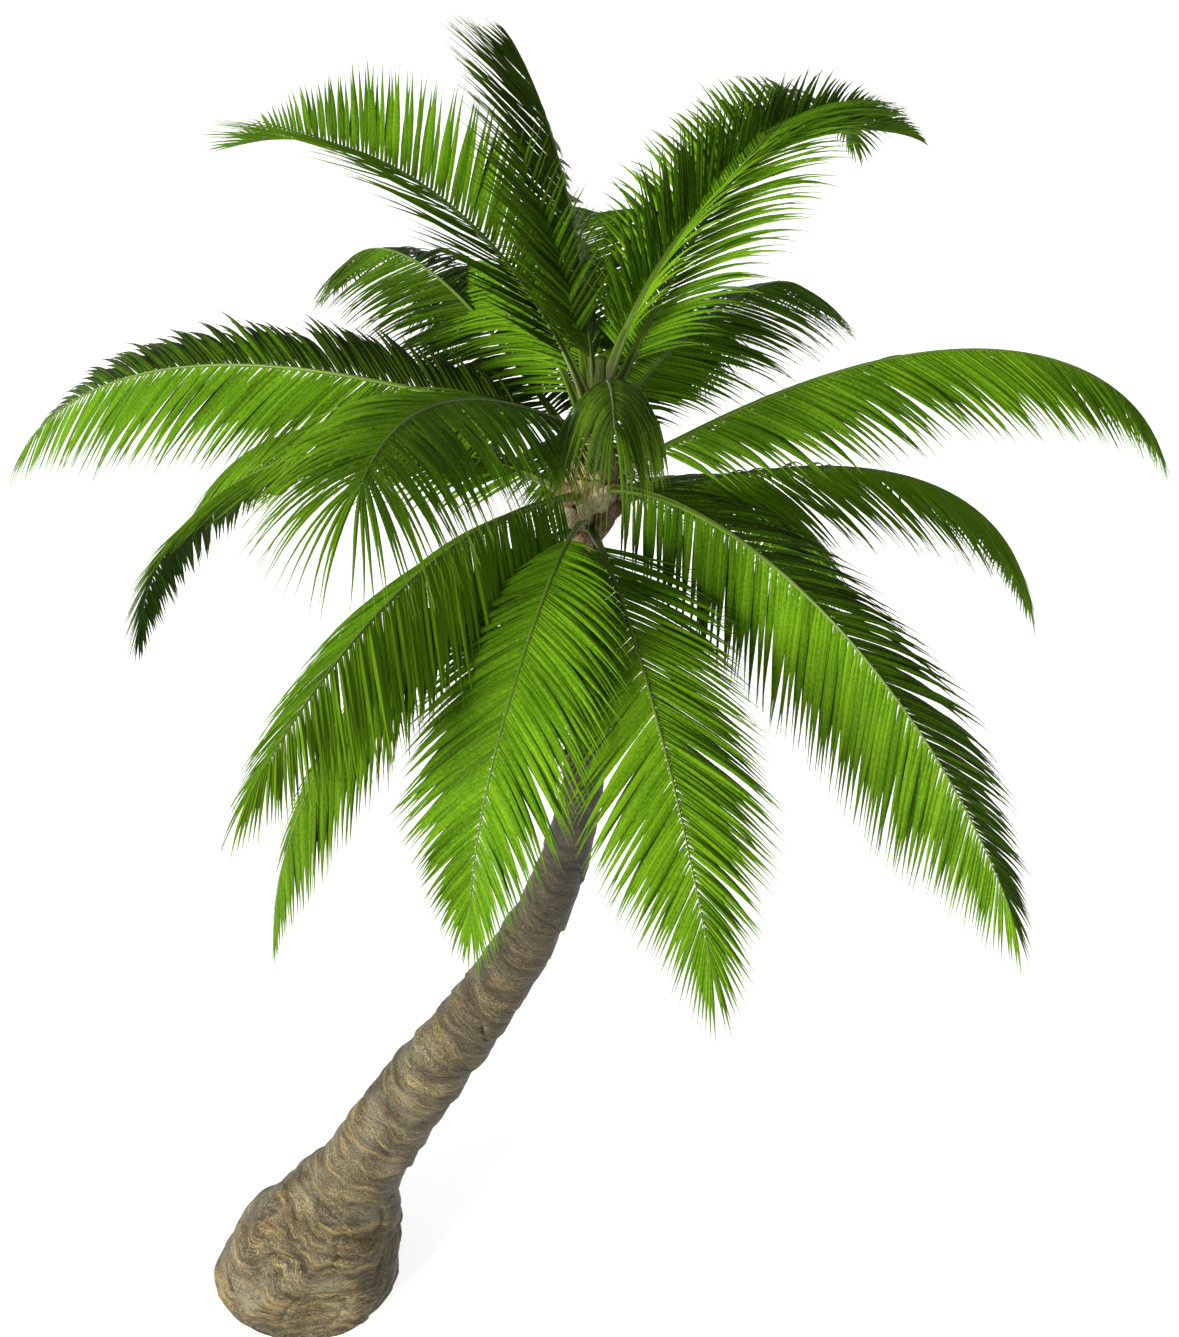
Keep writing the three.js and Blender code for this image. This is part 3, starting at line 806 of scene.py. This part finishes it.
def make_leaflets(name, frond, course, nodes, dice):
    """Both rows of leaflets, each a folded closed strip that tapers to a point."""
    strip = np.array(tube_faces(LEAFLET_STEPS + 1, 4))
    reach = np.linspace(0, 1, LEAFLET_STEPS + 1)
    outline = np.interp(reach, OUTLINE_SHARES, OUTLINE_WIDTHS)
    corners, places, faces = [], [], []
    for side in (1, -1):
        for number, lean in enumerate(bunched(dice, frond["pairs"])):
            share = (number + 0.5 + dice.uniform(-0.2, 0.2)) / frond["pairs"]
            share = mix(frond["first"], 1, share)
            length, line, heading, face = leaflet_line(frond, course, share, side, lean, dice)
            # the blade lies across the leaflet, turned a little like a slat
            slat = math.radians(side * 3 + dice.normal(0, 4))
            twist = slat * (1 - 0.6 * reach) + math.radians(dice.normal(0, 10)) * reach
            across = turned(unit(np.cross(face, heading)), heading, twist[:, None])
            normal = unit(np.cross(heading, across))
            # leaflets are narrower near the heart and towards the frond's tip
            narrow = 0.62 + 0.38 * smooth(share, 0.05, 0.2) - 0.45 * smooth(share, 0.6, 1)
            wide = LEAFLET_WIDTH * dice.uniform(0.9, 1.08)
            half = 0.5 * wide * narrow * outline
            edge = across * half[:, None]
            keel = normal * (0.35 * half)[:, None]
            skin = normal * LEAFLET_HALF_THICKNESS
            ring = np.stack([line + edge - keel, line + skin, line - edge - keel, line - skin], 1)
            faces.append(strip + len(corners) * 4 * (LEAFLET_STEPS + 1))
            corners.append(ring.reshape(-1, 3))
            # the leaflet's tone: a number of its own, plus painted light or shade on its wing
            own_and_painted_light = dice.uniform(0, 1) + frond["painted_light"][side < 0]
            # inner darkens the leaflets near the heart: painted shade
            own_and_painted_light += frond["inner"] * (1 - smooth(share, 0.15, 0.5))
            where = np.zeros((LEAFLET_STEPS + 1, 4, 3))
            where[:, 0, 0] = half
            where[:, 2, 0] = -half
            where[:, :, 1] = (reach * length)[:, None]
            where[:, :, 2] = own_and_painted_light
            places.append(where.reshape(-1, 3))
    green = LEAF_GREENS[frond["green"]]
    corners, faces = np.vstack(corners), np.vstack(faces).tolist()
    piece = new_piece(name + "_leaflets", corners, faces, green, nodes, LEAFLET_CREASE)
    set_vectors(piece, "leaf_place", np.vstack(places))


def make_frond(place, sizes, dice):
    """A frond's stalk and leaflets, which stand for all its solids."""
    frond = {**FROND_DEFAULTS, **sizes}
    course = rib_course(frond)
    nodes = [f"frond_{place}_{number + 1}" for number in range(frond["pieces"])]
    make_stalk("frond_" + place, frond, course)
    make_leaflets("frond_" + place, frond, course, nodes, dice)


# --------------------------------------------------------------------- put together

make_trunk()
make_heart()
for number, cloth in enumerate(CLOTHS):
    make_cloth(number + 1, *cloth)
for number, (place, sizes) in enumerate(FRONDS.items()):
    make_frond(place, sizes, np.random.default_rng(100 + number))

# ------------------------------------------------------------ floor, light and view


def make_floor():
    """A plain pale floor, far wider than the palm and a hair under its cut."""
    paint = pale_paint("pale_floor", "Base Color", {}, [(0.0, "#f2f2f2"), (1.0, "#f6f6f6")])
    reach = STAGE_REACH
    corners = [(-reach, -reach, 0), (reach, -reach, 0), (reach, reach, 0), (-reach, reach, 0)]
    floor = new_object("floor", corners, [(0, 1, 2, 3)], paint)
    floor.location.z = -0.002
    floor.visible_diffuse = False
    return floor


def make_backdrop():
    """A pale wall far out all round, which the camera sees and no light meets."""
    glow = {"Base Color": linear("#000000"), "Emission Strength": 1.05}
    stops = [(0.0, "#fafafa"), (1.0, "#ffffff")]
    paint = pale_paint("pale_backdrop", "Emission Color", glow, stops)
    corners = []
    for height in (-1, STAGE_REACH):
        for side in range(BACKDROP_SIDES):
            turn = 2 * math.pi * side / BACKDROP_SIDES
            x, y = BACKDROP_RADIUS * math.cos(turn), BACKDROP_RADIUS * math.sin(turn)
            corners.append((x, y, height))
    wall = new_object("backdrop", corners, grid_faces(2, BACKDROP_SIDES), paint)
    wall.visible_diffuse = False
    wall.visible_glossy = False
    wall.visible_transmission = False
    wall.visible_shadow = False


def make_sun(name, energy):
    """A lamp that shines from far off."""
    sun = bpy.data.lights.new(name, "SUN")
    sun.energy = energy
    lamp = bpy.data.objects.new(name, sun)
    bpy.context.scene.collection.objects.link(lamp)
    return sun, lamp


def make_light(floor):
    """A pale sky all round, one soft key from the left and front, and a wash that
    falls on the floor alone and keeps it white."""
    world = bpy.data.worlds.new("studio")
    world.use_nodes = True
    sky = world.node_tree.nodes["Background"]
    sky.inputs["Color"].default_value = (1, 1, 1, 1)
    sky.inputs["Strength"].default_value = 0.25
    bpy.context.scene.world = world
    key, lamp = make_sun("key", 4.9)
    key.angle = math.radians(30)
    key.color = (1.0, 0.97, 0.90)
    lamp.rotation_mode = "QUATERNION"
    lamp.rotation_quaternion = Vector((-0.66, -0.70, 0.27)).to_track_quat("Z", "Y")
    wash, over = make_sun("floor_wash", 2.8)
    wash.use_shadow = False
    lit = bpy.data.collections.new("floor_only")
    lit.objects.link(floor)
    over.light_linking.receiver_collection = lit


def make_camera():
    camera = bpy.data.cameras.new("camera")
    camera.lens = CAMERA_LENS
    camera.sensor_width = CAMERA_SENSOR
    camera.clip_end = 2000
    seat = bpy.data.objects.new("camera", camera)
    seat.location = CAMERA_PLACE
    seat.rotation_euler = (math.radians(CAMERA_TILT), 0, 0)
    bpy.context.scene.collection.objects.link(seat)
    bpy.context.scene.camera = seat


make_light(make_floor())
make_backdrop()
make_camera()
bpy.context.scene.view_settings.view_transform = "Standard"

bpy.context.view_layer.update()
